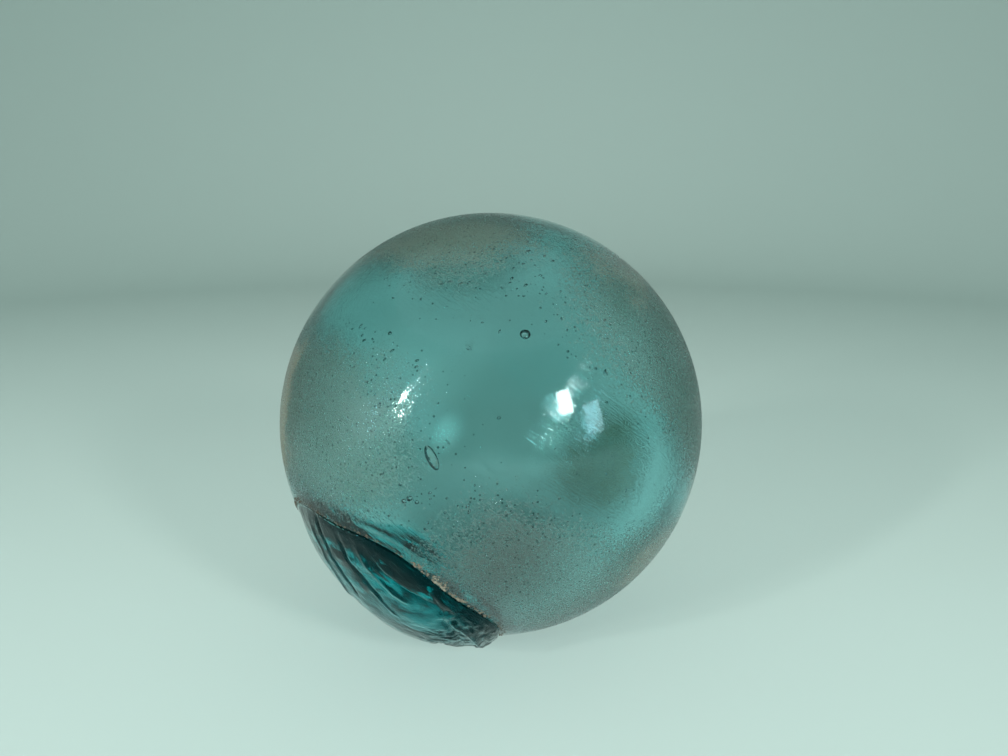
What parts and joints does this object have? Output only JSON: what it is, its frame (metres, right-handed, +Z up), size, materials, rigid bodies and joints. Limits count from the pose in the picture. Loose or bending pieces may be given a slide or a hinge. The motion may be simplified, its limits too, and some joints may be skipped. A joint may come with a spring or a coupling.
{
  "type": "glass fishing float",
  "caption": "Hand-blown aqua glass fishing float, a round sealed ball with a darker fused seal button low on its side, lying on its small flat spot.",
  "frame": {"origin": "centre of the small flat spot on the underside of the ball, at the level of the table", "axes": "+Z up; -Y towards the side from which the seal shows at the lower left; +X to the right of that view"},
  "size_m": [0.076, 0.076, 0.0756],
  "materials": {
    "aqua_glass": "clear aqua bottle glass with sand-etched frosted patches, pits and scratches",
    "deep_teal_glass": "glossy deep teal glass, folded and wrinkled, with dirt in the seam",
    "seam_dirt": "dry cream and brown crust of lime and dirt, lodged in the seam round the seal"
  },
  "bodies": {
    "root": {"float_ball": "aqua_glass", "seal_button": "deep_teal_glass"}
  },
  "joints": []
}
